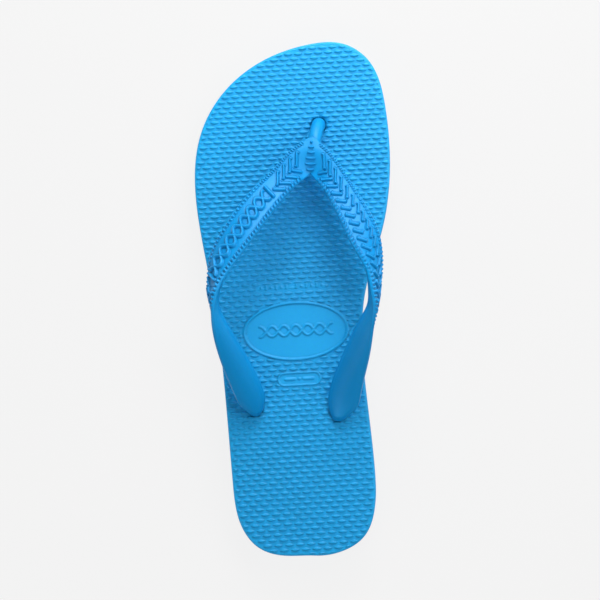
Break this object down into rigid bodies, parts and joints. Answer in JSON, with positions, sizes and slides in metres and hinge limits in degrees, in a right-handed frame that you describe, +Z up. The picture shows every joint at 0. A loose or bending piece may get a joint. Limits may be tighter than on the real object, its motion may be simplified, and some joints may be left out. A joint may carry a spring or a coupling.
{
  "type": "flip flop",
  "caption": "Left-foot rubber thong sandal: a contoured two-layer sole and a one-piece Y strap with a toe post, plugged through the sole and held by discs underneath.",
  "frame": {"origin": "middle of the sole's outline, on the ground face of the outsole", "axes": "+Y from heel to toe, +X to the big-toe side, +Z up from the ground"},
  "size_m": [0.0992, 0.258, 0.0589],
  "materials": {
    "footbed_rubber": "matt, moulded rice-grain texture",
    "outsole_rubber": "matt, fine expanded-rubber skin",
    "strap_rubber": "satin, moulded relief on the front half"
  },
  "bodies": {
    "root": {"footbed": "footbed_rubber", "outsole": "outsole_rubber", "strap": "strap_rubber"}
  },
  "joints": []
}
